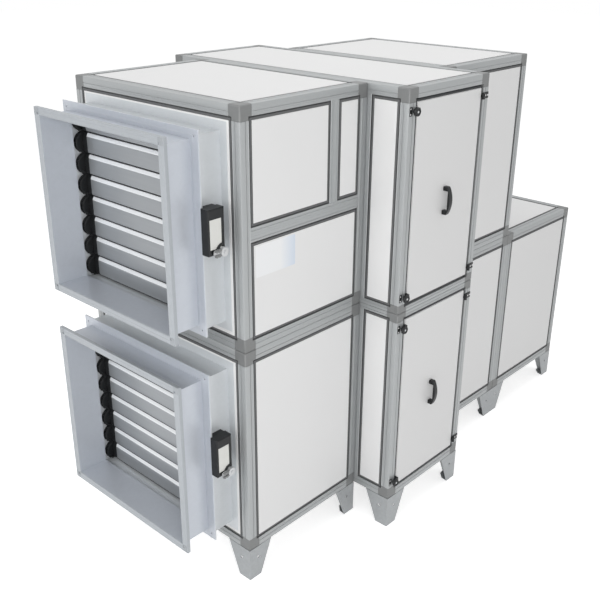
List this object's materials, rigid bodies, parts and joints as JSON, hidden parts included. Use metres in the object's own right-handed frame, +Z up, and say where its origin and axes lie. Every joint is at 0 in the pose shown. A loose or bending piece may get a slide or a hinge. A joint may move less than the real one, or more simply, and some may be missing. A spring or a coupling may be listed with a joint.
{
  "type": "air handling unit",
  "caption": "Two-deck air handling unit on sheet feet, with framed panels, service doors and geared shut-off dampers on its end.",
  "frame": {"origin": "on the floor, midway along the unit's overall length with the front ducts, in the casing's centre plane", "axes": "+X along the unit away from the dampers, +Y across it away from the doors, +Z up"},
  "size_m": [3.26, 1.612, 2.295],
  "materials": {
    "profile": "brushed",
    "casting": "satin",
    "panel": "semi-gloss",
    "seal": "matte",
    "sheet": "satin",
    "blade": "satin",
    "black": "matte",
    "foot": "satin"
  },
  "bodies": {
    "casing": {"door_gaskets": "seal", "end_panels": "panel", "feet": "foot", "floor_panels": "panel", "hinge_brackets": "black", "latch_keepers": "black", "lower_actuator": "black", "lower_corner_castings": "casting", "lower_damper_casing": "sheet", "lower_damper_panel": "panel", "lower_damper_section_frame": "profile", "lower_front_duct": "sheet", "lower_rear_section_frame": "profile", "lower_tail_section_frame": "profile", "lower_wheel_section_frame": "profile", "mullions": "profile", "panel_seals": "seal", "roof_panels": "panel", "side_panels": "panel", "tail_corner_castings": "casting", "tail_feet": "foot", "upper_actuator": "black", "upper_corner_castings": "casting", "upper_damper_casing": "sheet", "upper_damper_panel": "panel", "upper_damper_section_frame": "profile", "upper_front_duct": "sheet", "upper_rear_section_frame": "profile", "upper_wheel_section_frame": "profile"},
    "upper_door": {"upper_door": "panel", "upper_door_handle": "black", "upper_door_fittings": "black"},
    "upper_door_bottom_knob": {"upper_door_bottom_knob": "black"},
    "upper_door_top_knob": {"upper_door_top_knob": "black"},
    "upper_blade_1": {"upper_blade_1": "blade"},
    "upper_blade_2": {"upper_blade_2": "blade"},
    "upper_blade_3": {"upper_blade_3": "blade"},
    "upper_blade_4": {"upper_blade_4": "blade"},
    "upper_blade_5": {"upper_blade_5": "blade"},
    "upper_blade_6": {"upper_blade_6": "blade"},
    "upper_blade_7": {"upper_blade_7": "blade"},
    "upper_blade_8": {"upper_blade_8": "blade"},
    "lower_door": {"lower_door": "panel", "lower_door_handle": "black", "lower_door_fittings": "black"},
    "lower_door_bottom_knob": {"lower_door_bottom_knob": "black"},
    "lower_door_top_knob": {"lower_door_top_knob": "black"},
    "lower_blade_1": {"lower_blade_1": "blade"},
    "lower_blade_2": {"lower_blade_2": "blade"},
    "lower_blade_3": {"lower_blade_3": "blade"},
    "lower_blade_4": {"lower_blade_4": "blade"},
    "lower_blade_5": {"lower_blade_5": "blade"},
    "lower_blade_6": {"lower_blade_6": "blade"},
    "lower_blade_7": {"lower_blade_7": "blade"},
    "lower_blade_8": {"lower_blade_8": "blade"}
  },
  "joints": [
    {"name": "upper_door_hinge", "type": "hinge", "parent": "casing", "child": "upper_door", "pos_m": [0.024, -0.7935, 1.755], "axis": [0, 0, 1], "range_deg": [0, 120]},
    {"name": "upper_door_bottom_knob_turn", "type": "hinge", "parent": "upper_door", "child": "upper_door_bottom_knob", "pos_m": [-0.528, -0.799, 1.316], "axis": [0, -1, 0], "range_deg": [0, 90]},
    {"name": "upper_door_top_knob_turn", "type": "hinge", "parent": "upper_door", "child": "upper_door_top_knob", "pos_m": [-0.528, -0.799, 2.194], "axis": [0, -1, 0], "range_deg": [0, 90]},
    {"name": "upper_blade_1_turn", "type": "hinge", "parent": "casing", "child": "upper_blade_1", "pos_m": [-1.41, 0, 1.415], "axis": [0, 1, 0], "range_deg": [-90, 0]},
    {"name": "upper_blade_2_turn", "type": "hinge", "parent": "casing", "child": "upper_blade_2", "pos_m": [-1.41, 0, 1.515], "axis": [0, 1, 0], "range_deg": [0, 90]},
    {"name": "upper_blade_3_turn", "type": "hinge", "parent": "casing", "child": "upper_blade_3", "pos_m": [-1.41, 0, 1.615], "axis": [0, 1, 0], "range_deg": [-90, 0]},
    {"name": "upper_blade_4_turn", "type": "hinge", "parent": "casing", "child": "upper_blade_4", "pos_m": [-1.41, 0, 1.715], "axis": [0, 1, 0], "range_deg": [0, 90]},
    {"name": "upper_blade_5_turn", "type": "hinge", "parent": "casing", "child": "upper_blade_5", "pos_m": [-1.41, 0, 1.815], "axis": [0, 1, 0], "range_deg": [-90, 0]},
    {"name": "upper_blade_6_turn", "type": "hinge", "parent": "casing", "child": "upper_blade_6", "pos_m": [-1.41, 0, 1.915], "axis": [0, 1, 0], "range_deg": [0, 90]},
    {"name": "upper_blade_7_turn", "type": "hinge", "parent": "casing", "child": "upper_blade_7", "pos_m": [-1.41, 0, 2.015], "axis": [0, 1, 0], "range_deg": [-90, 0]},
    {"name": "upper_blade_8_turn", "type": "hinge", "parent": "casing", "child": "upper_blade_8", "pos_m": [-1.41, 0, 2.115], "axis": [0, 1, 0], "range_deg": [0, 90]},
    {"name": "lower_door_hinge", "type": "hinge", "parent": "casing", "child": "lower_door", "pos_m": [0.024, -0.7935, 0.715], "axis": [0, 0, 1], "range_deg": [0, 120]},
    {"name": "lower_door_bottom_knob_turn", "type": "hinge", "parent": "lower_door", "child": "lower_door_bottom_knob", "pos_m": [-0.528, -0.799, 0.276], "axis": [0, -1, 0], "range_deg": [0, 90]},
    {"name": "lower_door_top_knob_turn", "type": "hinge", "parent": "lower_door", "child": "lower_door_top_knob", "pos_m": [-0.528, -0.799, 1.154], "axis": [0, -1, 0], "range_deg": [0, 90]},
    {"name": "lower_blade_1_turn", "type": "hinge", "parent": "casing", "child": "lower_blade_1", "pos_m": [-1.41, 0, 0.355], "axis": [0, 1, 0], "range_deg": [-90, 0]},
    {"name": "lower_blade_2_turn", "type": "hinge", "parent": "casing", "child": "lower_blade_2", "pos_m": [-1.41, 0, 0.455], "axis": [0, 1, 0], "range_deg": [0, 90]},
    {"name": "lower_blade_3_turn", "type": "hinge", "parent": "casing", "child": "lower_blade_3", "pos_m": [-1.41, 0, 0.555], "axis": [0, 1, 0], "range_deg": [-90, 0]},
    {"name": "lower_blade_4_turn", "type": "hinge", "parent": "casing", "child": "lower_blade_4", "pos_m": [-1.41, 0, 0.655], "axis": [0, 1, 0], "range_deg": [0, 90]},
    {"name": "lower_blade_5_turn", "type": "hinge", "parent": "casing", "child": "lower_blade_5", "pos_m": [-1.41, 0, 0.755], "axis": [0, 1, 0], "range_deg": [-90, 0]},
    {"name": "lower_blade_6_turn", "type": "hinge", "parent": "casing", "child": "lower_blade_6", "pos_m": [-1.41, 0, 0.855], "axis": [0, 1, 0], "range_deg": [0, 90]},
    {"name": "lower_blade_7_turn", "type": "hinge", "parent": "casing", "child": "lower_blade_7", "pos_m": [-1.41, 0, 0.955], "axis": [0, 1, 0], "range_deg": [-90, 0]},
    {"name": "lower_blade_8_turn", "type": "hinge", "parent": "casing", "child": "lower_blade_8", "pos_m": [-1.41, 0, 1.055], "axis": [0, 1, 0], "range_deg": [0, 90]}
  ],
  "couplings": [
    {"joint": "upper_blade_1_turn", "follows": "upper_blade_4_turn", "ratio": -1},
    {"joint": "upper_blade_2_turn", "follows": "upper_blade_4_turn", "ratio": 1},
    {"joint": "upper_blade_3_turn", "follows": "upper_blade_4_turn", "ratio": -1},
    {"joint": "upper_blade_5_turn", "follows": "upper_blade_4_turn", "ratio": -1},
    {"joint": "upper_blade_6_turn", "follows": "upper_blade_4_turn", "ratio": 1},
    {"joint": "upper_blade_7_turn", "follows": "upper_blade_4_turn", "ratio": -1},
    {"joint": "upper_blade_8_turn", "follows": "upper_blade_4_turn", "ratio": 1},
    {"joint": "lower_blade_1_turn", "follows": "lower_blade_4_turn", "ratio": -1},
    {"joint": "lower_blade_2_turn", "follows": "lower_blade_4_turn", "ratio": 1},
    {"joint": "lower_blade_3_turn", "follows": "lower_blade_4_turn", "ratio": -1},
    {"joint": "lower_blade_5_turn", "follows": "lower_blade_4_turn", "ratio": -1},
    {"joint": "lower_blade_6_turn", "follows": "lower_blade_4_turn", "ratio": 1},
    {"joint": "lower_blade_7_turn", "follows": "lower_blade_4_turn", "ratio": -1},
    {"joint": "lower_blade_8_turn", "follows": "lower_blade_4_turn", "ratio": 1}
  ]
}
